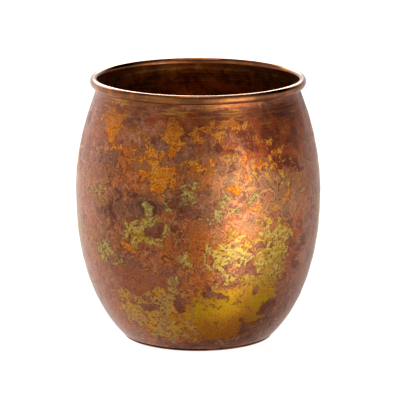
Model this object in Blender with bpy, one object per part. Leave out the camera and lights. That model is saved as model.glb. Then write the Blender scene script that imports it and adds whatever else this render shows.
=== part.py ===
"""Handle-less copper mug: a spun barrel body with a wired, rolled lip on a brazed base disc.

The mug stands on Z = 0 with its axis along +Z, in metres. Every piece is a solid of
revolution, so each one is drawn as a half section (radius, height) and turned once.
"""
import math

import bmesh
import bpy
from mathutils import Vector

MM = 0.001

# ---- driving dimensions ------------------------------------------------------------
HEIGHT = 97.0 * MM
BELLY_RADIUS = 45.0 * MM
BELLY_HEIGHT = 49.0 * MM
SHEET = 0.6 * MM

NECK_RADIUS = 38.1 * MM
NECK_HEIGHT = 90.5 * MM
NECK_LEAN = math.radians(20.9)
COVE_RADIUS = 8.1 * MM

LIP_WIDTH = 2.48 * MM
LIP_DEPTH = 3.4 * MM
LIP_WRAP = math.radians(285.0)
WIRE_DIAMETER = 1.0 * MM

FOOT_RADIUS = 28.4 * MM
FOOT_BEND = 1.2 * MM
FOOT_FLARE = math.radians(45.0)
FLANGE_RADIUS = 23.0 * MM

DISC_RADIUS = 27.6 * MM
DISC_THICKNESS = 0.6 * MM
JOINT_GAP = 0.25 * MM
BRAZE_WIDTH = 1.3 * MM
BRAZE_RISE = 0.9 * MM

# Lengths of the Bezier handles that set how full the barrel is below and above the belly.
FOOT_PULL = 23.0 * MM
BELLY_PULL_DOWN = 3.0 * MM
BELLY_PULL_UP = 2.6 * MM
NECK_PULL = 24.7 * MM

# ---- mesh fineness -----------------------------------------------------------------
SEGMENTS = 72
LOWER_STEPS = 13
UPPER_STEPS = 10
COVE_STEPS = 3
BEND_STEPS = 3
CURL_STEPS = 13
WIRE_STEPS = 12
EDGE_STEPS = 6

# ---- worked-out dimensions ---------------------------------------------------------
FLANGE_UNDERSIDE = DISC_THICKNESS + JOINT_GAP
COVE_TOP = NECK_HEIGHT + COVE_RADIUS * math.sin(NECK_LEAN)
THROAT_RADIUS = NECK_RADIUS - COVE_RADIUS * (1.0 - math.cos(NECK_LEAN))
CURL_RADIUS = THROAT_RADIUS + LIP_WIDTH / 2.0 - SHEET
CURL_HEIGHT = HEIGHT - LIP_DEPTH / 2.0


def clear_scene():
    """Remove every object already in the scene."""
    for item in list(bpy.data.objects):
        bpy.data.objects.remove(item, do_unlink=True)


def polar(centre, angle, reach_r, reach_z=None):
    """Point of the half section at an angle on an ellipse around a centre."""
    reach_z = reach_r if reach_z is None else reach_z
    return Vector((centre[0] + reach_r * math.cos(angle), centre[1] + reach_z * math.sin(angle)))


def arc(centre, start, end, steps, reach_r, reach_z=None):
    """Points along an elliptical arc, ends included."""
    turns = [start + (end - start) * i / steps for i in range(steps + 1)]
    return [polar(centre, turn, reach_r, reach_z) for turn in turns]


def bezier(start, start_handle, end_handle, end, steps):
    """Points along one cubic Bezier span, without its first point."""
    points = []
    for i in range(1, steps + 1):
        t = i / steps
        s = 1.0 - t
        points.append(s ** 3 * start + 3.0 * s * s * t * start_handle
                      + 3.0 * s * t * t * end_handle + t ** 3 * end)
    return points


def sheet_outline(path, thickness):
    """Closed outline of a sheet whose one face follows the path, thickened to its left."""
    offset = []
    for i, point in enumerate(path):
        ahead = path[min(i + 1, len(path) - 1)]
        behind = path[max(i - 1, 0)]
        along = (ahead - behind).normalized()
        offset.append(point + thickness * Vector((-along.y, along.x)))
    return path + offset[::-1]


def lathe(name, outline, colour, roughness, metallic):
    """Turn a closed outline once around Z into a solid; points on the axis become poles."""
    shell = bmesh.new()
    columns = []
    for radius, height in outline:
        if radius < 1e-9:
            columns.append([shell.verts.new((0.0, 0.0, height))] * SEGMENTS)
            continue
        ring = []
        for i in range(SEGMENTS):
            turn = 2.0 * math.pi * i / SEGMENTS
            ring.append(shell.verts.new((radius * math.cos(turn), radius * math.sin(turn), height)))
        columns.append(ring)
    for here, beyond in zip(columns, columns[1:] + columns[:1]):
        if here[0] is here[1] and beyond[0] is beyond[1]:
            continue
        for i in range(SEGMENTS):
            j = (i + 1) % SEGMENTS
            corners = [here[i], here[j], beyond[j], beyond[i]]
            shell.faces.new(list(dict.fromkeys(corners)))
    bmesh.ops.recalc_face_normals(shell, faces=shell.faces)
    mesh = bpy.data.meshes.new(name)
    shell.to_mesh(mesh)
    shell.free()
    mesh.shade_smooth()
    mesh.set_sharp_from_angle(angle=math.radians(40.0))
    mesh.materials.append(metal(name, colour, roughness, metallic))
    piece = bpy.data.objects.new(name, mesh)
    bpy.context.scene.collection.objects.link(piece)
    return piece


def metal(name, colour, roughness, metallic):
    """One Principled material of its own for a piece."""
    material = bpy.data.materials.new(name + "_metal")
    material.use_nodes = True
    shader = material.node_tree.nodes["Principled BSDF"]
    shader.inputs["Base Color"].default_value = (*colour, 1.0)
    shader.inputs["Roughness"].default_value = roughness
    shader.inputs["Metallic"].default_value = metallic
    return material


def body_path():
    """Outer face of the wall, from the flange under the foot to the free edge of the curl."""
    bend_centre = Vector((FOOT_RADIUS - FOOT_BEND * math.sin(FOOT_FLARE), FLANGE_UNDERSIDE + FOOT_BEND))
    bend = arc(bend_centre, -math.pi / 2.0, -math.pi / 2.0 + FOOT_FLARE, BEND_STEPS, FOOT_BEND)
    foot = bend[-1]
    foot_handle = foot + FOOT_PULL * Vector((math.cos(FOOT_FLARE), math.sin(FOOT_FLARE)))
    belly = Vector((BELLY_RADIUS, BELLY_HEIGHT))
    below = belly - Vector((0.0, BELLY_PULL_DOWN))
    above = belly + Vector((0.0, BELLY_PULL_UP))
    neck = Vector((NECK_RADIUS, NECK_HEIGHT))
    neck_handle = neck + NECK_PULL * Vector((math.sin(NECK_LEAN), -math.cos(NECK_LEAN)))

    flange = [Vector((FLANGE_RADIUS, FLANGE_UNDERSIDE))]
    lower = bezier(foot, foot_handle, below, belly, LOWER_STEPS)
    upper = bezier(belly, above, neck_handle, neck, UPPER_STEPS)
    cove_centre = Vector((THROAT_RADIUS + COVE_RADIUS, COVE_TOP))
    cove = arc(cove_centre, math.pi + NECK_LEAN, math.pi, COVE_STEPS, COVE_RADIUS)
    curl = arc((CURL_RADIUS, CURL_HEIGHT), math.pi, math.pi - LIP_WRAP, CURL_STEPS,
               LIP_WIDTH / 2.0 - SHEET, LIP_DEPTH / 2.0 - SHEET)
    return flange + bend + lower + upper + cove[1:] + curl


def make_body():
    """Spun wall with the turned-in foot flange and the rolled lip, all one sheet."""
    return lathe("body_shell", sheet_outline(body_path(), SHEET), (0.42, 0.14, 0.06), 0.34, 1.0)


def make_rim_wire():
    """Stiffening wire that the lip is rolled around."""
    outline = arc((CURL_RADIUS, CURL_HEIGHT), 0.0, 2.0 * math.pi, WIRE_STEPS, WIRE_DIAMETER / 2.0)
    return lathe("rim_wire", outline[:-1], (0.65, 0.30, 0.16), 0.40, 1.0)


def make_base_disc():
    """Flat disc the mug stands on, with a rounded edge."""
    edge_radius = DISC_THICKNESS / 2.0
    edge_centre = (DISC_RADIUS - edge_radius, edge_radius)
    edge = arc(edge_centre, -math.pi / 2.0, math.pi / 2.0, EDGE_STEPS, edge_radius)
    outline = [Vector((0.0, 0.0))] + edge + [Vector((0.0, DISC_THICKNESS))]
    return lathe("base_disc", outline, (0.48, 0.19, 0.08), 0.38, 1.0)


def make_base_braze():
    """Fillet of braze inside the mug, along the inner edge of the foot flange."""
    outer = FLANGE_RADIUS - JOINT_GAP
    floor = DISC_THICKNESS + JOINT_GAP
    inner = outer - BRAZE_WIDTH
    outline = [Vector((inner, floor)), Vector((outer, floor)), Vector((outer, floor + BRAZE_RISE))]
    outline += [Vector((outer - BRAZE_WIDTH * 0.45, floor + BRAZE_RISE * 0.35))]
    return lathe("base_braze", outline, (0.55, 0.38, 0.16), 0.45, 1.0)


def main():
    clear_scene()
    make_body()
    make_rim_wire()
    make_base_disc()
    make_base_braze()


main()
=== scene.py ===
"""Looks of the handle-less copper mug: spun barrel wall, rolled lip and a heat-coloured patina.

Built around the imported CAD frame. Lengths named here are in millimetres unless they say
otherwise; bearings are in degrees round the mug, 0 at the front (-Y) and positive to +X.
"""
import math

import bmesh
import bpy
import numpy as np
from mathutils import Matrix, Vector, noise


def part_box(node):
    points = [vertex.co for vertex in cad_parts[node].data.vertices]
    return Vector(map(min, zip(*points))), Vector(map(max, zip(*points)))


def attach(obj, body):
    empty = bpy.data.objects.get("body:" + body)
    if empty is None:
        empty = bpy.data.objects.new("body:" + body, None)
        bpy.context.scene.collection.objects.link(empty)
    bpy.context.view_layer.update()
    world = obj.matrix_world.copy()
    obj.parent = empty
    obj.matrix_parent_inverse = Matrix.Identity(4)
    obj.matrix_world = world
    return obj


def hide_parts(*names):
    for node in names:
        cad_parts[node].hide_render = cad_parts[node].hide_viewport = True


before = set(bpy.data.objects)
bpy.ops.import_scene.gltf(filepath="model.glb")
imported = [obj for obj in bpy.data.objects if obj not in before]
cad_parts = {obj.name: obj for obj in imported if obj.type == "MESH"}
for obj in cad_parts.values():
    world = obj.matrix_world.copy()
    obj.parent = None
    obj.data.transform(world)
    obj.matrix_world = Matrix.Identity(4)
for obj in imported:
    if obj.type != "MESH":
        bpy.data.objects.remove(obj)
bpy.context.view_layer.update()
scene = bpy.context.scene

MM = 0.001

# ---- sizes taken from the frame ------------------------------------------------------
shell_low, shell_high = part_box("body_shell")
disc_low, disc_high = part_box("base_disc")
braze_low, braze_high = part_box("base_braze")
wire_low, wire_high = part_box("rim_wire")

HEIGHT = shell_high.z / MM
FLANGE_UNDERSIDE = shell_low.z / MM
DISC_RADIUS = disc_high.x / MM
DISC_THICKNESS = disc_high.z / MM
WIRE_RADIUS = (wire_high.z - wire_low.z) / MM / 2.0
WIRE_RING = wire_high.x / MM - WIRE_RADIUS
WIRE_LEVEL = (wire_high.z + wire_low.z) / MM / 2.0
BRAZE_OUTER = braze_high.x / MM
BRAZE_FLOOR = braze_low.z / MM
BRAZE_RISE = (braze_high.z - braze_low.z) / MM

# ---- the design's own proportions, which the frame's boxes don't hold ------------------
SHEET = 0.6
BELLY_RADIUS = 45.0
BELLY_HEIGHT = 49.0
NECK_RADIUS = 38.1
NECK_HEIGHT = 90.5
NECK_LEAN = math.radians(20.9)
COVE_RADIUS = 8.1
LIP_WIDTH = 2.8
LIP_DEPTH = 3.4
LIP_OVERHANG = math.radians(195.0)
FOOT_RADIUS = 28.4
FOOT_BEND = 1.2
FOOT_FLARE = math.radians(45.0)
FLANGE_RADIUS = 23.0
FOOT_PULL = 23.0
BELLY_PULL_DOWN = 3.0
BELLY_PULL_UP = 2.6
NECK_PULL = 24.7
BRAZE_WIDTH = 1.3

COVE_TOP = NECK_HEIGHT + COVE_RADIUS * math.sin(NECK_LEAN)
THROAT_RADIUS = NECK_RADIUS - COVE_RADIUS * (1.0 - math.cos(NECK_LEAN))
CURL_RADIUS = THROAT_RADIUS + LIP_WIDTH / 2.0 - SHEET
CURL_HEIGHT = HEIGHT - LIP_DEPTH / 2.0

SEGMENTS = 288
BEND_STEPS = 6
LOWER_STEPS = 44
UPPER_STEPS = 36
COVE_STEPS = 8
CURL_STEPS = 34
WIRE_STEPS = 20


# ---- half sections -------------------------------------------------------------------
def arc(centre, start, end, steps, reach_r, reach_z=None):
    """Points along an elliptical arc of the half section, ends included."""
    reach_z = reach_r if reach_z is None else reach_z
    turns = np.linspace(start, end, steps + 1)
    return np.stack([centre[0] + reach_r * np.cos(turns),
                     centre[1] + reach_z * np.sin(turns)], 1)


def bezier(start, start_handle, end_handle, end, steps):
    """Points along one cubic Bezier span, without its first point."""
    t = np.linspace(0.0, 1.0, steps + 1)[1:, None]
    s = 1.0 - t
    return (s ** 3 * start + 3.0 * s * s * t * start_handle
            + 3.0 * s * t * t * end_handle + t ** 3 * end)


def wall_path():
    """Outer face of the sheet, from the flange under the foot to the free edge of the lip."""
    bend_centre = (FOOT_RADIUS - FOOT_BEND * math.sin(FOOT_FLARE), FLANGE_UNDERSIDE + FOOT_BEND)
    down = -math.pi / 2
    bend = arc(bend_centre, down, down + FOOT_FLARE, BEND_STEPS, FOOT_BEND)
    foot = bend[-1]
    foot_handle = foot + FOOT_PULL * np.array([math.cos(FOOT_FLARE), math.sin(FOOT_FLARE)])
    belly = np.array([BELLY_RADIUS, BELLY_HEIGHT])
    neck = np.array([NECK_RADIUS, NECK_HEIGHT])
    neck_handle = neck + NECK_PULL * np.array([math.sin(NECK_LEAN), -math.cos(NECK_LEAN)])
    flange_reach = np.linspace(FLANGE_RADIUS, bend[0][0], 5)[:-1]
    flange = np.stack([flange_reach, np.full(4, FLANGE_UNDERSIDE)], 1)
    lower = bezier(foot, foot_handle, belly - [0.0, BELLY_PULL_DOWN], belly, LOWER_STEPS)
    upper = bezier(belly, belly + [0.0, BELLY_PULL_UP], neck_handle, neck, UPPER_STEPS)
    cove = arc((THROAT_RADIUS + COVE_RADIUS, COVE_TOP), math.pi + NECK_LEAN, math.pi,
               COVE_STEPS, COVE_RADIUS)
    curl = arc((CURL_RADIUS, CURL_HEIGHT), math.pi, math.pi / 2 - LIP_OVERHANG, CURL_STEPS,
               LIP_WIDTH / 2 - SHEET, LIP_DEPTH / 2 - SHEET)
    return np.concatenate([flange, bend, lower, upper, cove[1:], curl])


def thicken(path):
    """Closed outline of the sheet, and which points lie on its inner face."""
    along = np.gradient(path, axis=0)
    along /= np.linalg.norm(along, axis=1)[:, None]
    inner = path + SHEET * np.stack([-along[:, 1], along[:, 0]], 1)
    return np.concatenate([path, inner[::-1]]), np.arange(2 * len(path)) >= len(path)


# ---- the unevenness of a mug spun and beaten by hand -----------------------------------
STEADY_BELOW = 3.0
FREE_ABOVE = 15.0
CALMER_LIP = (88.0, 94.0, 0.6)
SWELL_SIZE = 26.0
SWELL_DEPTH = 0.10
DIMPLE_SIZE = 9.0
DIMPLE_DEPTH = 0.030
OVAL_DEPTH = 0.12
OVAL_BEARING = 35.0
RING_PITCH = 7.5
RING_DEPTH = 0.035
NOISE_RADIUS = 40.0
DING_BEARING = 88.0
DING_HEIGHT = 72.0
DING_SIZE = 1.6
DING_DEPTH = 0.35


def smooth(low, high, value):
    """0 below low, 1 above high, and a smooth step between."""
    t = np.clip((value - low) / (high - low), 0.0, 1.0)
    return t * t * (3.0 - 2.0 * t)


def noise_field(points, size, seed):
    """Smooth noise from -1 to 1 at each point, with features of about the given size."""
    shift = Vector((seed * 7.3, seed * 3.1, seed * 5.7))
    return np.array([noise.noise(Vector(p) / size + shift) for p in points])


def hand_worked(points):
    """Push points in or out as the hand-worked wall does; the foot stays true."""
    radius = np.hypot(points[:, 0], points[:, 1])
    bearing = np.degrees(np.arctan2(points[:, 0], -points[:, 1]))
    level = points[:, 2]
    outward = points[:, :2] / np.maximum(radius, 1e-6)[:, None]
    spot = np.stack([outward[:, 0] * NOISE_RADIUS, outward[:, 1] * NOISE_RADIUS, level], 1)
    push = SWELL_DEPTH * noise_field(spot, SWELL_SIZE, 1)
    push += DIMPLE_DEPTH * noise_field(spot, DIMPLE_SIZE, 2)
    push += RING_DEPTH * np.sin(2.0 * math.pi * level / RING_PITCH + 1.5 * np.sin(level / 11.0))
    lip_start, lip_full, calmer = CALMER_LIP
    push *= 1.0 - calmer * smooth(lip_start, lip_full, level)
    push += OVAL_DEPTH * np.cos(np.radians(2.0 * (bearing - OVAL_BEARING)))
    around = np.radians((bearing - DING_BEARING + 180.0) % 360.0 - 180.0) * radius
    ding = np.exp(-(around ** 2 + (level - DING_HEIGHT) ** 2) / DING_SIZE ** 2)
    push = smooth(STEADY_BELOW, FREE_ABOVE, level) * push - DING_DEPTH * ding
    scale = (radius + push) / np.maximum(radius, 1e-6)
    return np.stack([points[:, 0] * scale, points[:, 1] * scale, level], 1)


def lathe(name, outline):
    """Turn a closed outline (or one that starts and ends on the axis) into a mesh object."""
    turns = np.linspace(0.0, 2.0 * math.pi, SEGMENTS, endpoint=False)
    verts = []
    rings = []
    for radius, level in outline:
        if radius < 1e-6:
            rings.append([len(verts)] * SEGMENTS)
            verts.append((0.0, 0.0, level))
            continue
        rings.append(list(range(len(verts), len(verts) + SEGMENTS)))
        verts.extend(zip(radius * np.cos(turns), radius * np.sin(turns),
                         np.full(SEGMENTS, level)))
    faces = []
    for here, beyond in zip(rings, rings[1:] + rings[:1]):
        if here[0] == here[1] and beyond[0] == beyond[1]:
            continue
        for i in range(SEGMENTS):
            j = (i + 1) % SEGMENTS
            faces.append(tuple(dict.fromkeys((here[i], here[j], beyond[j], beyond[i]))))
    mesh = bpy.data.meshes.new(name)
    mesh.from_pydata(verts, [], faces)
    mesh.shade_smooth()
    piece = bpy.data.objects.new(name, mesh)
    scene.collection.objects.link(piece)
    return piece


SHARP_ANGLE = math.radians(50.0)


def vertices(piece):
    """Vertex places of a piece as an array."""
    flat = np.zeros(len(piece.data.vertices) * 3)
    piece.data.vertices.foreach_get("co", flat)
    return flat.reshape(-1, 3)


def set_vertices(piece, points):
    """Give a piece its vertex places, from millimetres, and turn its faces outwards."""
    piece.data.vertices.foreach_set("co", (points * MM).ravel())
    shell = bmesh.new()
    shell.from_mesh(piece.data)
    bmesh.ops.recalc_face_normals(shell, faces=shell.faces)
    shell.to_mesh(piece.data)
    shell.free()
    piece.data.shade_smooth()
    piece.data.set_sharp_from_angle(angle=SHARP_ANGLE)


def store(piece, name, values):
    """Keep one number per vertex on the piece, for its material to read."""
    layer = piece.data.attributes.new(name, "FLOAT", "POINT")
    layer.data.foreach_set("value", np.asarray(values, dtype=np.float32))


# ---- pieces --------------------------------------------------------------------------
outline, is_inner = thicken(wall_path())
wall = lathe("mug_wall", outline)
raw = vertices(wall)
inner_face = np.repeat(is_inner, SEGMENTS).astype(float)
path_index = np.repeat(np.arange(len(outline)), SEGMENTS)
set_vertices(wall, hand_worked(raw))

wire_section = arc((WIRE_RING, WIRE_LEVEL), 0.0, 2.0 * math.pi, WIRE_STEPS, WIRE_RADIUS)[:-1]
wire = lathe("lip_wire", wire_section)
set_vertices(wire, hand_worked(vertices(wire)))

edge_radius = DISC_THICKNESS / 2.0
flat_reach = DISC_RADIUS - edge_radius
disc_edge = arc((flat_reach, edge_radius), -math.pi / 2, math.pi / 2, 10, edge_radius)
disc_under = [[r, 0.0] for r in np.linspace(0.0, flat_reach, 12)[:-1]]
disc_top = [[r, DISC_THICKNESS] for r in np.linspace(flat_reach, 0.0, 12)[1:]]
disc = lathe("base_plate", np.concatenate([disc_under, disc_edge, disc_top]))
set_vertices(disc, vertices(disc))

# The braze run: a soft bead whose width and height wander along it.
BEAD_WANDER_SIZE = 3.0
BEAD_HEIGHT_WANDER = 0.2
BEAD_WIDTH_WANDER = 0.175
bead_turns = np.linspace(0.0, math.pi, 9)
bead_arch = np.stack([BRAZE_OUTER - BRAZE_WIDTH * (0.5 - 0.5 * np.cos(bead_turns)),
                      BRAZE_FLOOR + BRAZE_RISE * np.sin(bead_turns) ** 0.8], 1)
braze = lathe("braze_run", bead_arch)
bead = vertices(braze)
bead_radius = np.hypot(bead[:, 0], bead[:, 1])
wander = noise_field(bead / [1.0, 1.0, 100.0], BEAD_WANDER_SIZE, 5)
lift = 1.0 - BEAD_HEIGHT_WANDER * (1.0 - wander)
bead_level = BRAZE_FLOOR + (bead[:, 2] - BRAZE_FLOOR) * lift
inward = (BRAZE_OUTER - bead_radius) / BRAZE_WIDTH
shrink = 1.0 + BEAD_WIDTH_WANDER * inward * (1.0 - wander) / bead_radius
set_vertices(braze, np.stack([bead[:, 0] * shrink, bead[:, 1] * shrink, bead_level], 1))


# ---- where each tone of the patina, and each painted highlight, lies --------------------
# Each spot: bearing, height, half width, half height (mm), strength.
SPOTS = {
    "amber": [
        (-51, 85.5, 6, 5, 1.15), (-46, 80, 4, 4, 0.95), (-13, 84, 5, 5, 1.05),
        (-11, 77, 3, 4, 0.85), (-24, 72, 7, 6, 1.35), (-18, 67, 5, 5, 1.25), (-27, 76, 5, 2, 1.1),
        (-13, 64, 4, 3, 0.9), (-7, 72, 7, 3, 0.8), (15, 86, 8, 3, 0.85), (3, 84, 6, 4, 0.65),
        (21, 74, 1.3, 2.4, 1.1), (31, 71, 2.6, 2.0, 1.05), (7, 74, 2.2, 1.6, 0.95),
        (16, 63, 2.2, 1.9, 1.05), (-33, 42, 6, 2.4, 0.95), (40, 75, 6, 6, 0.55),
        (23, 67, 1.1, 2.2, 0.95), (46, 62, 1.4, 4, 0.9), (26, 56, 4, 1.2, 0.8),
        (12, 52, 5, 1.2, 0.85), (-28, 84, 9, 4, 0.4),
    ],
    "orange": [
        (-26, 72, 15, 11, 1.0), (-3, 71, 13, 7, 1.0), (-44, 72, 6, 7, 0.7), (12, 46, 11, 4, 1.0),
        (2, 44, 5, 6, 0.8), (2, 36, 7, 8, 0.9), (-2, 27, 9, 5, 0.8), (-40, 67, 9, 9, 0.6),
        (18, 80, 14, 6, 0.6), (0, 90, 40, 2, 0.5), (-14, 48, 4, 12, 0.5), (-24, 84, 18, 6, 0.7),
        (-10, 14, 16, 8, 0.6), (22, 47, 8, 4, 0.8), (33, 18, 8, 8, 0.6), (8, 8, 26, 5, 1.0),
        (-30, 26, 16, 5, 0.4), (-6, 20, 12, 5, 0.7),
    ],
    "slate": [
        (-33, 58, 14, 4, 1.3), (-52, 87, 3, 2, 0.8), (-29, 88, 4, 3, 0.8), (38, 79, 4, 9, 1.0),
        (-45, 52, 8, 4, 0.8), (2, 79, 10, 4, 0.9), (-4, 88, 12, 2, 0.7), (-17, 52, 8, 3, 0.6),
        (12, 79, 7, 3, 0.7), (-16, 28, 9, 6, 0.5), (-20, 79, 7, 3, 0.9), (-8, 76, 4, 2, 0.8),
        (-40, 88, 5, 2, 0.8), (27, 65, 2, 4, 0.9), (56, 88, 14, 7, 0.8), (24, 82, 8, 5, 0.8),
        (-56, 41, 7, 7, 0.9), (14, 72, 4, 4, 0.8), (52, 72, 12, 8, 0.5), (44, 13, 8, 4, 1.0),
        (32, 5, 12, 2.4, 0.9), (42, 8, 8, 3, 0.9), (-50, 72, 7, 8, 0.7), (-2, 88, 9, 3, 0.6),
        (10, 60, 9, 5, 0.5),
    ],
    "olive": [
        (-5, 62, 2.6, 5, 1.05), (-3, 66, 1.8, 3, 0.95), (-14, 59, 2, 4, 0.95),
        (-22, 55, 2, 5, 0.95), (-24, 60, 3, 2, 0.85), (-17, 62, 5, 1.2, 0.8),
        (8, 54, 2.2, 4, 0.98), (11, 60, 1.6, 2.4, 0.9), (1, 54, 5, 1.4, 0.9),
        (17, 56, 6, 1.3, 0.92), (-50, 38, 4, 5, 0.85), (-43, 36, 4, 3, 0.8), (-60, 62, 2, 5, 0.8),
        (-54, 58, 5, 3, 0.8), (-50, 62, 4, 1, 0.8), (56, 61, 3, 2, 0.7), (26, 60, 5, 2, 0.5),
    ],
    "yellow": [
        (-25, 48, 9, 6, 1.0), (-7, 39, 2.4, 4, 0.95), (15, 39, 9, 9, 1.05), (36, 43, 9, 9, 1.05),
        (38, 34, 8, 7, 0.75), (15, 30, 6, 5, 0.9), (-16, 21, 9, 6, 1.1), (-31, 16, 12, 6, 1.15),
        (-38, 22, 6, 2, 0.95), (44, 64, 2, 4, 0.9), (-12, 29, 4, 3, 0.8), (-20, 10, 13, 5, 1.05),
    ],
    "gold": [
        (18, 20, 13, 7, 1.2), (2, 15, 11, 5, 1.0), (29, 22, 10, 8, 0.95), (18, 12, 14, 6, 1.05),
        (36, 33, 7, 9, 1.05), (30, 27, 8, 6, 0.9), (-14, 13, 10, 6, 0.6), (2, 8, 12, 3, 0.85),
        (32, 12, 6, 5, 0.8), (-26, 14, 8, 5, 0.5),
    ],
    "maroon": [
        (-9, 20, 2.2, 2.8, 1.2), (41, 17, 4, 3.2, 1.2), (28, 10, 2.4, 3, 1.15),
        (25, 33, 2.0, 3.0, 1.05), (20, 33, 1.2, 3, 0.95), (17, 28, 2, 2, 1.0),
        (30, 42, 1.7, 1.7, 1.15), (36, 43, 1.2, 1.4, 1.1), (30, 31, 2.0, 1.0, 1.0),
        (30, 25, 1.2, 2.2, 1.0), (-21, 48, 3.4, 2.0, 1.0), (-18, 50, 2, 1.4, 0.9),
        (-28, 19, 5, 1.2, 1.0), (-24, 5, 2, 1, 0.9), (8, 24, 6, 1.2, 0.9), (12, 3, 24, 1.3, 0.9),
        (-8, 57, 8, 5, 0.55), (41, 9, 9, 1.6, 0.9), (38, 12, 7, 0.9, 0.8),
    ],
    "rings": [
        (-54, 60, 8, 5, 0.6), (-54, 40, 8, 8, 0.5), (28, 62, 17, 13, 1.0), (10, 66, 7, 7, 0.7),
        (40, 70, 12, 14, 0.8), (18, 76, 12, 5, 0.6), (22, 50, 12, 5, 0.7), (48, 56, 8, 12, 0.7),
    ],
    "mauve": [
        (-34, 85, 12, 7, 0.9), (-52, 80, 6, 10, 0.6), (-20, 80, 5, 5, 0.7), (-58, 68, 7, 12, 0.6),
        (-52, 27, 8, 11, 0.6), (48, 56, 6, 9, 0.8), (-55, 50, 6, 8, 0.8), (26, 55, 8, 3, 0.5),
        (58, 40, 8, 14, 0.9), (-30, 6, 12, 4, 0.8),
    ],
    # Gold stripes at the top of the neck: painted highlights on the cove under the lip, along the
    # spinning lines.
    "streak_highlight": [
        (-13, 91.2, 7, 1.2, 0.62), (20, 90.2, 6, 1.2, 0.62), (4, 92, 8, 0.9, 0.4),
        (-50, 92, 6, 1.2, 0.45),
    ],
    # Gold on the lip: partly gilding, partly a painted highlight where the front-right key light
    # shines on it.
    "gilt_and_highlight": [
        (24, 96, 14, 3.5, 1.0), (-12, 96, 9, 3.5, 0.6), (62, 96, 8, 3.5, 0.5),
    ],
    "calm": [
        (-40, 29, 20, 8, 1.0), (-58, 46, 6, 18, 0.8), (58, 34, 9, 22, 0.9), (62, 76, 9, 14, 0.8),
        (-48, 12, 18, 6, 0.8), (-58, 76, 7, 12, 0.7), (-20, 31, 8, 5, 0.7), (50, 18, 8, 8, 0.7),
    ],
    "ember": [
        (40, 81, 12, 8, 1.0), (48, 74, 8, 7, 0.8), (28, 84, 9, 4, 0.8), (60, 86, 8, 8, 0.8),
        (0, 88, 20, 2.5, 0.7), (52, 40, 6, 12, 0.5), (10, 79, 8, 3, 0.5),
    ],
    "rust": [
        (-4, 46, 8, 8, 1.0), (-24, 35, 4, 8, 1.0), (-14, 49, 4, 12, 0.9), (-20, 63, 9, 5, 0.8),
        (50, 72, 8, 8, 0.8), (-6, 34, 8, 6, 0.6), (56, 52, 7, 14, 0.5), (-58, 70, 10, 12, 0.4),
    ],
}


# The spots cover the front third; the other two thirds carry them turned, flipped and lifted.
# Each third: turn in degrees, flip, lift in millimetres.
THIRDS = ((0.0, 1.0, 0.0), (120.0, -1.0, 4.0), (240.0, 1.0, -6.0))
FRONT_ENDS = (68.0, 82.0)


def spread(points, spots):
    """Strength of one tone at each point: the strongest of its spots, each a soft ellipse."""
    bearing = np.degrees(np.arctan2(points[:, 0], -points[:, 1]))
    radius = np.hypot(points[:, 0], points[:, 1])
    away = smooth(*FRONT_ENDS, np.abs(bearing))
    total = np.zeros(len(points))
    for turn, flip, lift in THIRDS:
        for spot_bearing, level, half_width, half_height, strength in spots:
            off = (bearing - turn - flip * spot_bearing + 180.0) % 360.0 - 180.0
            reach = (np.radians(off) * radius / half_width) ** 2
            reach += ((points[:, 2] - level - lift) / half_height) ** 2
            share = strength if turn == 0.0 else strength * away
            total = np.maximum(total, share * np.exp(-0.7 * reach ** 1.6))
    return total


# Zone edges wander: the spots are looked up at places pushed about by two sizes of noise.
ZONE_STRAY = 2.2


def stray(points, seed):
    """One axis of the push, in broad and fine noise."""
    return noise_field(points, 7.0, seed) + 0.6 * noise_field(points, 3.0, seed)


strayed = raw + ZONE_STRAY * np.stack([stray(raw, seed) for seed in (11, 12, 13)], 1)
for tone, spots in SPOTS.items():
    store(wall, tone, spread(strayed, spots) * (1.0 - inner_face))

path_length = len(outline) // 2
curl_start = path_length - (CURL_STEPS + 1)
place_on_path = np.minimum(path_index, 2 * path_length - 1 - path_index)
lip = smooth(curl_start - 3, curl_start + 2, place_on_path.astype(float))
store(wall, "inside", inner_face * (1.0 - lip))
store(wall, "lip", lip)
# Neck mask: where the spinning lines and the painted shade under the lip go; it also deepens the
# lines' relief.
store(wall, "neck", smooth(80.0, 90.0, raw[:, 2]))


# ---- materials -------------------------------------------------------------------------
def rgb(red, green, blue):
    """Linear colour from the usual 0 to 255 screen values."""
    shares = [value / 255 for value in (red, green, blue)]
    linear = [share / 12.92 if share <= 0.04 else ((share + 0.055) / 1.055) ** 2.4
              for share in shares]
    return (*linear, 1.0)


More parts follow.
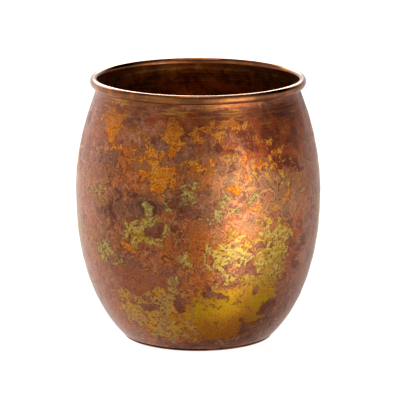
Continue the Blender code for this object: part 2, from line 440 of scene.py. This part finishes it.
class Nodes:
    """Small helper that adds nodes to one material and wires them up."""

    def __init__(self, name):
        self.material = bpy.data.materials.new(name)
        self.material.use_nodes = True
        self.tree = self.material.node_tree
        self.shader = self.tree.nodes["Principled BSDF"]

    def add(self, kind, sockets=None, **settings):
        node = self.tree.nodes.new("ShaderNode" + kind)
        for key, value in settings.items():
            setattr(node, key, value)
        for key, value in (sockets or {}).items():
            self.put(value, node.inputs[key])
        return node

    def put(self, value, socket):
        if isinstance(value, bpy.types.NodeSocket):
            self.tree.links.new(value, socket)
        else:
            socket.default_value = value

    def attribute(self, name):
        return self.add("Attribute", attribute_name=name).outputs["Fac"]

    def place(self):
        """Object coordinates in millimetres."""
        coords = self.add("TexCoord").outputs["Object"]
        per_metre = (1.0 / MM,) * 3
        return self.add("VectorMath", {0: coords, 1: per_metre}, operation="MULTIPLY").outputs[0]

    def stretched(self, place, scale, shift=(0.0, 0.0, 0.0)):
        sockets = {"Vector": place, "Scale": scale, "Location": shift}
        return self.add("Mapping", sockets).outputs[0]

    def shifted(self, place, shift):
        return self.stretched(place, (1.0, 1.0, 1.0), shift)

    def bent(self, place, size, amount):
        """Coordinates pushed about by coloured noise, so patterns made on them flow and fold."""
        stir = self.add("TexNoise", {"Vector": place, "Scale": 1.0 / size, "Detail": 1.0,
                                     "Roughness": 0.5})
        centred = self.add("VectorMath", {0: stir.outputs["Color"], 1: (0.5, 0.5, 0.5)},
                           operation="SUBTRACT")
        push = self.add("VectorMath", {0: centred.outputs[0], "Scale": amount}, operation="SCALE")
        return self.add("VectorMath", {0: place, 1: push.outputs[0]}).outputs[0]

    def noise(self, place, size, detail, roughness):
        return self.add("TexNoise", {"Vector": place, "Scale": 1.0 / size, "Detail": detail,
                                     "Roughness": roughness}).outputs["Fac"]

    def math(self, operation, first, second=0.0, third=0.0):
        return self.add("Math", {0: first, 1: second, 2: third}, operation=operation).outputs[0]

    def times(self, first, second):
        return self.math("MULTIPLY", first, second)

    def step(self, value, low, high, out_low=0.0, out_high=1.0):
        """Smooth step of a value between two thresholds; low above high turns it round."""
        sockets = {"Value": value, "From Min": low, "From Max": high, "To Min": out_low,
                   "To Max": out_high}
        return self.add("MapRange", sockets, interpolation_type="SMOOTHSTEP").outputs["Result"]

    def mix(self, factor, first, second):
        node = self.add("Mix", data_type="RGBA")
        self.put(factor, node.inputs[0])
        self.put(first, node.inputs[6])
        self.put(second, node.inputs[7])
        return node.outputs[2]

    def either(self, pattern, low, high, first, second):
        """One of two colours, picked softly by where a pattern lies between two values."""
        return self.mix(self.step(pattern, low, high), first, second)

    def tint(self, base, colour, mask, strength):
        """Lay a colour over the base where the mask is, at the given strength."""
        return self.mix(self.times(mask, strength), base, colour)

    def blend(self, factor, first, second):
        """Mix of two numbers."""
        node = self.add("Mix", data_type="FLOAT")
        self.put(factor, node.inputs[0])
        self.put(first, node.inputs[2])
        self.put(second, node.inputs[3])
        return node.outputs[0]

    def ramp(self, value, stops):
        """Colours along a value; stops are (place, colour)."""
        node = self.add("ValToRGB", {"Fac": value})
        while len(node.color_ramp.elements) < len(stops):
            node.color_ramp.elements.new(0.5)
        for element, (place, colour) in zip(node.color_ramp.elements, stops):
            element.position = place
            element.color = colour
        return node.outputs["Color"]

    def swing(self, tone, pattern, ragged):
        """A tone's strength over the wall, thrown up and down by a pattern."""
        centred = self.math("SUBTRACT", pattern, 0.5)
        return self.math("MULTIPLY_ADD", centred, ragged, self.attribute(tone))

    def island(self, level, edge, softness):
        """Mask of the islands where a swing passes the edge."""
        return self.step(level, edge - softness, edge + softness)

    def halo(self, level, edge, width, softness=0.04):
        """Thin line just outside the islands of a swing."""
        outside = self.math("SUBTRACT", 1.0, self.island(level, edge, softness))
        return self.times(outside, self.island(level, edge - width, softness))

    def vein(self, pattern, level, width):
        """Thin contour line where a pattern crosses a level."""
        away = self.math("ABSOLUTE", self.math("SUBTRACT", pattern, level))
        return self.math("SUBTRACT", 1.0, self.step(away, width * 0.4, width))


def add_patterns(n):
    """Noise patterns that the layers of the patina share. Sizes are in millimetres."""
    place = n.place()
    n.height = n.add("SeparateXYZ", {0: place}).outputs["Z"]
    flow = n.bent(place, 9.0, 9.0)
    curdle = n.bent(n.bent(place, 7.0, 5.0), 3.0, 2.6)
    knotted = n.stretched(n.bent(place, 5.0, 3.2), (1.0, 1.0, 0.85), (-13.0, 41.0, 7.0))
    n.cloud = n.noise(flow, 13.0, 5.0, 0.55)
    n.drift = n.noise(n.shifted(flow, (31.0, 17.0, 53.0)), 8.0, 4.0, 0.5)
    n.mottle = n.noise(curdle, 5.0, 4.5, 0.55)
    n.speck = n.noise(n.bent(place, 1.4, 1.0), 1.0, 3.0, 0.6)
    n.lace = n.noise(n.shifted(curdle, (3.0, 27.0, 14.0)), 3.4, 6.0, 0.66)
    n.torn = n.noise(n.shifted(curdle, (11.0, 5.0, 23.0)), 4.6, 7.0, 0.66)
    n.knots = n.noise(knotted, 4.0, 1.6, 0.5)
    n.grit = n.noise(place, 0.6, 2.0, 0.7)
    n.long_lines = n.noise(n.stretched(place, (0.035, 0.035, 1.5)), 1.0, 4.0, 0.65)
    n.short_lines = n.noise(n.stretched(place, (0.09, 0.09, 1.3), (5.0, 9.0, 2.0)), 1.0, 5.0, 0.7)


def brown_ground(n):
    """Red-brown clouds, with soft rust, orange and slate areas and calm, plainer ones."""
    ground = n.ramp(n.cloud, [(0.36, rgb(122, 62, 44)), (0.44, rgb(168, 90, 54)),
                              (0.50, rgb(150, 98, 62)), (0.55, rgb(200, 116, 66)),
                              (0.64, rgb(160, 102, 86))])
    ground = n.mix(n.step(n.drift, 0.44, 0.60, 0.0, 0.75), ground, rgb(150, 88, 72))
    rust = n.island(n.swing("rust", n.torn, 2.0), 0.5, 0.25)
    ground = n.tint(ground, rgb(196, 100, 42), rust, 0.85)
    orange = n.island(n.swing("orange", n.mottle, 1.8), 0.42, 0.3)
    ground = n.tint(ground, rgb(220, 112, 12), orange, 0.85)
    n.slate = n.island(n.swing("slate", n.torn, 2.6), 0.46, 0.14)
    ash = n.either(n.mottle, 0.45, 0.55, rgb(80, 50, 46), rgb(130, 98, 84))
    ground = n.tint(ground, ash, n.slate, 0.85)
    calm = n.island(n.swing("calm", n.torn, 1.4), 0.45, 0.25)
    n.busy = n.math("SUBTRACT", 1.0, n.times(calm, 0.75))
    still = n.either(n.drift, 0.42, 0.58, rgb(182, 106, 74), rgb(150, 92, 76))
    return n.tint(ground, still, calm, 0.6)


def curdled(n, ground):
    """Paler and darker contour bands over the ground, then the mauve areas."""
    curds = n.ramp(n.mottle, [(0.34, rgb(84, 42, 32)), (0.40, rgb(134, 68, 44)),
                              (0.445, rgb(186, 104, 62)), (0.465, rgb(232, 158, 100)),
                              (0.49, rgb(198, 112, 62)), (0.53, rgb(162, 94, 68)),
                              (0.555, rgb(108, 56, 40)), (0.60, rgb(176, 112, 84)),
                              (0.68, rgb(214, 148, 104))])
    ground = n.mix(n.times(n.busy, n.step(n.drift, 0.38, 0.56, 0.20, 0.62)), ground, curds)
    mauve = n.island(n.swing("mauve", n.torn, 2.4), 0.5, 0.16)
    dusk = n.either(n.mottle, 0.44, 0.56, rgb(136, 92, 78), rgb(190, 134, 108))
    return n.tint(ground, dusk, mauve, 0.5)


def ringed(n, ground):
    """Ring-shaped marks with dark outlines, pale glints, and ember-red areas."""
    n.rings = n.attribute("rings")
    ring_body = n.times(n.rings, n.step(n.knots, 0.36, 0.52, 0.25, 0.8))
    ground = n.mix(ring_body, ground, rgb(216, 146, 94))
    lines = n.math("MAXIMUM", n.vein(n.knots, 0.56, 0.026), n.vein(n.knots, 0.42, 0.018))
    where = n.math("MAXIMUM", n.rings, n.step(n.cloud, 0.46, 0.56))
    n.contour = n.times(n.times(lines, where), n.busy)
    ground = n.tint(ground, rgb(104, 56, 42), n.contour, 0.75)
    heart = n.times(n.step(n.knots, 0.58, 0.62), n.rings)
    ground = n.tint(ground, rgb(140, 108, 76), heart, 0.7)
    glint = n.times(n.vein(n.knots, 0.44, 0.018), n.step(n.drift, 0.44, 0.56))
    ground = n.tint(ground, rgb(232, 160, 100), glint, 0.55)
    ember = n.island(n.swing("ember", n.torn, 2.2), 0.38, 0.2)
    coal = n.either(n.mottle, 0.44, 0.56, rgb(118, 38, 14), rgb(176, 70, 20))
    return n.tint(ground, coal, ember, 0.85)


def gold_wash(n, colour):
    """Smooth gold low on the wall, burnt orange at the foot and mustard higher up."""
    n.gold = n.island(n.swing("gold", n.torn, 2.2), 0.5, 0.07)
    wash = n.either(n.drift, 0.4, 0.6, rgb(212, 158, 0), rgb(200, 138, 18))
    burnt = n.step(n.math("MULTIPLY_ADD", n.torn, 16.0, n.height), 30.0, 15.0, 0.0, 0.9)
    colour = n.mix(n.gold, colour, n.mix(burnt, wash, rgb(196, 104, 4)))
    mustard = n.times(n.gold, n.step(n.height, 24.0, 31.0, 0.0, 0.8))
    paste = n.either(n.speck, 0.44, 0.56, rgb(206, 162, 66), rgb(176, 122, 56))
    return n.mix(mustard, colour, paste)


def amber_islands(n, colour):
    """Bright amber, veined with paler ridges and broken by slate-filled holes."""
    level = n.swing("amber", n.lace, 3.6)
    whole = n.island(level, 0.56, 0.08)
    holes = n.times(whole, n.step(n.mottle, 0.545, 0.575))
    n.amber = n.math("SUBTRACT", whole, n.times(holes, 0.8))
    colour = n.tint(colour, rgb(112, 76, 62), holes, 0.6)
    colour = n.tint(colour, rgb(150, 60, 20), n.halo(level, 0.56, 0.18), 0.55)
    glow = n.either(n.speck, 0.44, 0.56, rgb(218, 106, 0), rgb(255, 154, 10))
    ridges = n.math("MAXIMUM", n.vein(n.lace, 0.58, 0.016), n.vein(n.torn, 0.47, 0.014))
    glow = n.tint(glow, rgb(255, 196, 96), ridges, 0.7)
    glow = n.mix(n.step(n.speck, 0.58, 0.64, 0.0, 0.7), glow, rgb(110, 46, 18))
    return n.mix(n.amber, colour, glow)


def yellow_islands(n, colour):
    """Brassy yellow islands, more orange low down, and gold flecks among the rings."""
    level = n.swing("yellow", n.lace, 4.4)
    n.yellow = n.island(level, 0.70, 0.07)
    leaf = n.ramp(n.torn, [(0.40, rgb(190, 134, 40)), (0.48, rgb(220, 184, 70)),
                           (0.54, rgb(218, 188, 100)), (0.60, rgb(184, 136, 70))])
    low_leaf = n.either(n.torn, 0.44, 0.56, rgb(222, 152, 40), rgb(198, 142, 80))
    leaf = n.mix(n.step(n.height, 32.0, 24.0, 0.0, 0.85), leaf, low_leaf)
    leaf = n.mix(n.step(n.speck, 0.53, 0.60, 0.0, 0.8), leaf, rgb(140, 82, 60))
    colour = n.tint(colour, rgb(150, 78, 30), n.halo(level, 0.70, 0.18), 0.5)
    colour = n.mix(n.yellow, colour, leaf)
    fleck = n.times(n.rings, n.step(n.lace, 0.57, 0.59))
    return n.mix(fleck, colour, n.either(n.speck, 0.45, 0.55, rgb(255, 170, 40), rgb(222, 168, 84)))


def olive_islands(n, colour):
    """Pale olive islands with a dark outline."""
    level = n.swing("olive", n.lace, 4.4)
    n.olive = n.island(level, 0.72, 0.06)
    moss = n.ramp(n.speck, [(0.40, rgb(208, 186, 108)), (0.5, rgb(184, 154, 80)),
                            (0.58, rgb(150, 112, 62))])
    colour = n.tint(colour, rgb(98, 46, 34), n.halo(level, 0.72, 0.22), 0.5)
    return n.mix(n.olive, colour, moss)


def maroon_stains(n, colour):
    """Wine-coloured stains on top of the other islands, then the fine dirt over everything."""
    level = n.swing("maroon", n.torn, 2.4)
    n.maroon = n.island(level, 0.6, 0.05)
    wine = n.either(n.mottle, 0.4, 0.6, rgb(132, 66, 40), rgb(160, 96, 76))
    colour = n.tint(colour, rgb(96, 44, 16), n.halo(level, 0.6, 0.16), 0.6)
    colour = n.mix(n.maroon, colour, wine)
    colour = n.mix(n.step(n.speck, 0.56, 0.64, 0.0, 0.35), colour, rgb(92, 44, 34))
    colour = n.mix(n.step(n.grit, 0.52, 0.66, 0.0, 0.30), colour, rgb(92, 50, 48))
    return n.mix(n.step(n.grit, 0.48, 0.36, 0.0, 0.18), colour, rgb(240, 164, 90))


def spun_neck_shade_and_highlight(n, colour):
    """Fine spinning lines on the neck in a darker band, partly painted shade under the lip, with a
    few gold stripes that are painted highlights.
    """
    n.neck = n.attribute("neck")
    # Darker band under the lip: partly spinning lines, partly painted shade.
    band = n.ramp(n.short_lines, [(0.38, rgb(84, 42, 30)), (0.46, rgb(128, 68, 46)),
                                  (0.53, rgb(150, 84, 52)), (0.59, rgb(178, 102, 50)),
                                  (0.65, rgb(206, 146, 60))])
    colour = n.mix(n.times(n.neck, n.step(n.mottle, 0.60, 0.46, 0.15, 0.62)), colour, band)
    # Gold stripes on the neck: painted highlights along the spinning lines.
    streak_highlight = n.island(n.swing("streak_highlight", n.short_lines, 3.0), 0.55, 0.15)
    return n.tint(colour, rgb(216, 150, 54), streak_highlight, 0.7)


def bare_inside(n, colour):
    """Plain stained copper on the inner face, darker where the pattern is torn."""
    n.inside = n.attribute("inside")
    lines = n.times(n.long_lines, 0.4)
    stain = n.step(n.math("MULTIPLY_ADD", n.cloud, 0.6, lines), 0.38, 0.62)
    inner = n.mix(stain, rgb(139, 83, 30), rgb(235, 156, 59))
    inner = n.mix(n.step(n.torn, 0.50, 0.60, 0.0, 0.6), inner, rgb(84, 54, 34))
    inner = n.mix(n.step(n.height, 4.5, 2.5, 0.0, 0.8), inner, rgb(138, 82, 54))
    return n.mix(n.inside, colour, inner)


def rubbed_lip_and_highlight(n, colour):
    """The lip is rubbed cleaner; its gold is partly gilding and partly a painted highlight,
    strongest on the front right.
    """
    n.lip = n.attribute("lip")
    rim = n.either(n.mottle, 0.40, 0.60, rgb(176, 106, 56), rgb(134, 78, 48))
    # Gold on the lip: partly gilding, partly a painted highlight.
    gilding_and_highlight = n.math("MULTIPLY_ADD", n.attribute("gilt_and_highlight"), 0.8, 0.15)
    gilding_and_highlight = n.times(gilding_and_highlight, n.step(n.short_lines, 0.46, 0.56))
    rim = n.mix(gilding_and_highlight, rim, rgb(222, 158, 62))
    rim = n.mix(n.step(n.short_lines, 0.46, 0.40, 0.0, 0.6), rim, rgb(112, 64, 44))
    rim = n.mix(n.step(n.torn, 0.56, 0.64, 0.0, 0.35), rim, rgb(112, 58, 38))
    return n.tint(colour, rim, n.lip, 0.9)


def patina_roughness(n):
    """Each tone has its own roughness; the lip is the smoothest."""
    rough = n.blend(n.cloud, 0.24, 0.36)
    for mask, value in ((n.slate, 0.40), (n.amber, 0.40), (n.yellow, 0.38), (n.olive, 0.46),
                        (n.maroon, 0.28), (n.gold, 0.28), (n.lip, n.blend(n.mottle, 0.06, 0.16))):
        rough = n.blend(mask, rough, value)
    centred = n.math("SUBTRACT", n.speck, 0.5)
    return n.math("MULTIPLY_ADD", centred, n.blend(n.lip, 0.14, 0.03), rough)


def patina_relief(n):
    """Height of the patina: crusts stand up, stains and outlines sink, lines run round."""
    line_depth = n.math("MULTIPLY_ADD", n.inside, 1.5, n.times(n.neck, 1.5))
    relief = n.times(n.amber, 0.35)
    for pattern, depth in ((n.olive, 0.5), (n.maroon, -0.4), (n.contour, -0.4), (n.mottle, 1.0),
                           (n.speck, 0.5), (n.long_lines, line_depth)):
        relief = n.math("ADD", relief, n.times(pattern, depth))
    return n.times(relief, n.blend(n.lip, 1.0, 0.12))


PATINA_LAYERS = (curdled, ringed, gold_wash, amber_islands, yellow_islands, olive_islands,
                 maroon_stains, spun_neck_shade_and_highlight, bare_inside, rubbed_lip_and_highlight)
PATINA_METALLIC = 0.92
LACQUER_WEIGHT = 0.13
LACQUER_ROUGHNESS = 0.25


def patina():
    """Heat-coloured copper of the wall, with the darker inside and the cleaner lip."""
    n = Nodes("patina_copper")
    add_patterns(n)
    colour = brown_ground(n)
    for layer in PATINA_LAYERS:
        colour = layer(n, colour)
    bump = n.add("Bump", {"Strength": 0.45, "Distance": 0.00008, "Height": patina_relief(n)})
    n.put(colour, n.shader.inputs["Base Color"])
    n.put(patina_roughness(n), n.shader.inputs["Roughness"])
    n.put(bump.outputs["Normal"], n.shader.inputs["Normal"])
    n.shader.inputs["Metallic"].default_value = PATINA_METALLIC
    n.shader.inputs["Coat Weight"].default_value = LACQUER_WEIGHT
    n.shader.inputs["Coat Roughness"].default_value = LACQUER_ROUGHNESS
    return n.material


def plain_metal(name, dark, light, roughness, size):
    """Uneven tarnished metal with turning rings, for the hidden pieces and the base plate."""
    n = Nodes(name)
    place = n.place()
    blotch = n.noise(n.bent(place, size, size * 0.6), size, 5.0, 0.6)
    scratch = n.noise(n.stretched(place, (0.25, 3.0, 1.0)), 1.0, 4.0, 0.7)
    flat = n.add("VectorMath", {0: place, 1: (1.0, 1.0, 0.0)}, operation="MULTIPLY").outputs[0]
    from_axis = n.add("VectorMath", {0: flat}, operation="LENGTH").outputs["Value"]
    turned = n.noise(n.add("CombineXYZ", {"X": from_axis}).outputs[0], 2.6, 3.0, 0.6)
    colour = n.either(blotch, 0.35, 0.65, dark, light)
    colour = n.mix(n.step(turned, 0.44, 0.56, 0.0, 0.6), colour, dark)
    colour = n.mix(n.step(scratch, 0.55, 0.75, 0.0, 0.35), colour, light)
    relief = n.math("ADD", n.math("ADD", blotch, scratch), turned)
    bump = n.add("Bump", {"Strength": 0.3, "Distance": 0.00005, "Height": relief})
    n.put(colour, n.shader.inputs["Base Color"])
    n.put(n.math("MULTIPLY_ADD", blotch, 0.2, roughness - 0.1), n.shader.inputs["Roughness"])
    n.put(bump.outputs["Normal"], n.shader.inputs["Normal"])
    n.shader.inputs["Metallic"].default_value = 0.95
    return n.material


def dress(piece, material, node):
    """Give a piece its material, and let it ride and stand in for its CAD node."""
    piece.data.materials.append(material)
    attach(piece, "root")
    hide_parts(node)


dress(wall, patina(), "body_shell")
dress(wire, plain_metal("wire_copper", rgb(150, 84, 58), rgb(196, 122, 84), 0.35, 2.0), "rim_wire")
dress(disc, plain_metal("disc_copper", rgb(104, 60, 42), rgb(160, 96, 60), 0.38, 6.0), "base_disc")
dress(braze, plain_metal("braze_brass", rgb(120, 92, 50), rgb(180, 148, 88), 0.45, 1.5),
      "base_braze")


# ---- stage, light and camera -------------------------------------------------------------
def area_light(name, place, target, width, height, power):
    """A soft box at a place in metres, aimed at a target and unseen by the camera."""
    lamp = bpy.data.lights.new(name, "AREA")
    lamp.shape = "RECTANGLE"
    lamp.size = width
    lamp.size_y = height
    lamp.energy = power
    light = bpy.data.objects.new(name, lamp)
    light.location = place
    light.rotation_euler = (Vector(target) - Vector(place)).to_track_quat("-Z", "Y").to_euler()
    light.visible_camera = False
    scene.collection.objects.link(light)


# The floor lies just below the mug. Its glow, which only the camera sees, makes it paper white.
FLOOR_REACH = 3.0
FLOOR_DROP = 0.0002
FLOOR_GREY = 0.30
FLOOR_GLOW = 0.94


def make_floor():
    """Plain pale floor: bright as the camera sees it, with only a faint shadow under the mug."""
    mesh = bpy.data.meshes.new("floor")
    corners = [(x * FLOOR_REACH, y * FLOOR_REACH, 0.0)
               for x, y in ((-1, -1), (1, -1), (1, 1), (-1, 1))]
    mesh.from_pydata(corners, [], [(0, 1, 2, 3)])
    floor = bpy.data.objects.new("floor", mesh)
    floor.location.z = -FLOOR_DROP
    scene.collection.objects.link(floor)
    material = bpy.data.materials.new("floor_paper")
    material.use_nodes = True
    tree = material.node_tree
    shader = tree.nodes["Principled BSDF"]
    shader.inputs["Base Color"].default_value = (FLOOR_GREY, FLOOR_GREY, FLOOR_GREY, 1.0)
    shader.inputs["Roughness"].default_value = 0.9
    shader.inputs["Specular IOR Level"].default_value = 0.1
    shader.inputs["Emission Color"].default_value = (1.0, 1.0, 1.0, 1.0)
    sight = tree.nodes.new("ShaderNodeLightPath")
    glow = tree.nodes.new("ShaderNodeMath")
    glow.operation = "MULTIPLY"
    glow.inputs[1].default_value = FLOOR_GLOW
    tree.links.new(sight.outputs["Is Camera Ray"], glow.inputs[0])
    tree.links.new(glow.outputs[0], shader.inputs["Emission Strength"])
    floor.data.materials.append(material)
    floor.visible_glossy = False
    floor.visible_shadow = False


# Soft boxes and white walls around the mug: bearing and elevation in degrees of the middle of
# each, its half width and half height, and its brightness. Bearing 0 is the camera's side.
SOFT_BOXES = {
    "key_front_right": (41.0, -11.0, 19.0, 29.0, 2.55),
    "paper_left": (-126.0, -10.0, 40.0, 38.0, 0.78),
    "paper_front": (-30.0, -24.0, 38.0, 38.0, 0.26),
    "paper_upper_left": (-54.0, 24.0, 28.0, 15.0, 0.42),
    "paper_right": (104.0, -14.0, 32.0, 20.0, 0.50),
    "paper_behind": (180.0, -6.0, 40.0, 40.0, 0.42),
    "strip_behind": (-178.0, 26.0, 19.0, 7.0, 15.0),
    "box_back_left": (-149.0, 30.0, 16.0, 9.0, 5.0),
    "table_below": (-60.0, -66.0, 80.0, 22.0, 0.18),
    "dark_wall_right": (122.0, 27.0, 34.0, 22.0, -0.32),
}
BOX_FALLOFF = -0.7
ROOM_LIGHT = 0.24
CEILING_LIGHT = 0.13
CEILING_SPAN = (0.0, 0.45)
WHITE_PAPER = 0.98


def make_world():
    """Studio surroundings: a dim room with soft white areas, and plain white to the eye."""
    world = bpy.data.worlds.new("studio")
    scene.world = world
    world.use_nodes = True
    tree = world.node_tree
    backdrop = tree.nodes["Background"]

    def compute(operation, first, second=0.0, third=0.0):
        node = tree.nodes.new("ShaderNodeMath")
        node.operation = operation
        for socket, value in zip(node.inputs, (first, second, third)):
            if isinstance(value, bpy.types.NodeSocket):
                tree.links.new(value, socket)
            else:
                socket.default_value = value
        return node.outputs[0]

    coords = tree.nodes.new("ShaderNodeTexCoord")
    parts = tree.nodes.new("ShaderNodeSeparateXYZ")
    tree.links.new(coords.outputs["Generated"], parts.inputs[0])
    x, y, z = parts.outputs
    turn = compute("ARCTAN2", x, compute("MULTIPLY", y, -1.0))
    bearing = compute("MULTIPLY", turn, math.degrees(1.0))
    elevation = compute("MULTIPLY", compute("ARCSINE", z), math.degrees(1.0))

    ceiling = tree.nodes.new("ShaderNodeMapRange")
    ceiling.interpolation_type = "SMOOTHSTEP"
    for key, value in (("From Min", CEILING_SPAN[0]), ("From Max", CEILING_SPAN[1]),
                       ("To Min", ROOM_LIGHT), ("To Max", CEILING_LIGHT)):
        ceiling.inputs[key].default_value = value
    tree.links.new(z, ceiling.inputs["Value"])
    light = ceiling.outputs["Result"]
    for box_bearing, box_elevation, half_width, half_height, strength in SOFT_BOXES.values():
        turned = compute("WRAP", compute("SUBTRACT", bearing, box_bearing), 180.0, -180.0)
        across = compute("POWER", compute("DIVIDE", turned, half_width), 2.0)
        raised = compute("DIVIDE", compute("SUBTRACT", elevation, box_elevation), half_height)
        reach = compute("ADD", across, compute("POWER", raised, 2.0))
        glow = compute("EXPONENT", compute("MULTIPLY", reach, BOX_FALLOFF))
        light = compute("MULTIPLY_ADD", glow, strength, light)

    sight = tree.nodes.new("ShaderNodeLightPath")
    pick = tree.nodes.new("ShaderNodeMix")
    pick.data_type = "FLOAT"
    tree.links.new(sight.outputs["Is Camera Ray"], pick.inputs[0])
    tree.links.new(light, pick.inputs[2])
    pick.inputs[3].default_value = WHITE_PAPER
    tree.links.new(pick.outputs[0], backdrop.inputs["Strength"])
    backdrop.inputs["Color"].default_value = (1.0, 1.0, 1.0, 1.0)


make_floor()
make_world()
MIDDLE = (0.0, 0.0, 0.05)
WASH_PLACE = (0.0, 0.0, 1.2)
WASH_SIZE = 0.5
WASH_POWER = 1.2
area_light("top_wash", WASH_PLACE, MIDDLE, WASH_SIZE, WASH_SIZE, WASH_POWER)

# The camera: metres, degrees down, and a long lens in millimetres.
CAMERA_DISTANCE = 1.150
CAMERA_HEIGHT = 0.3106
CAMERA_ASIDE = 0.0007
CAMERA_TILT = 12.75
CAMERA_LENS = 286.7
camera_data = bpy.data.cameras.new("camera")
camera_data.sensor_width = 36.0
camera_data.lens = CAMERA_LENS
camera_data.clip_start = 0.05
camera = bpy.data.objects.new("camera", camera_data)
camera.location = (CAMERA_ASIDE, -CAMERA_DISTANCE, CAMERA_HEIGHT)
camera.rotation_euler = (math.radians(90.0 - CAMERA_TILT), 0.0, 0.0)
scene.collection.objects.link(camera)
scene.camera = camera

scene.view_settings.view_transform = "Standard"
scene.view_settings.look = "None"
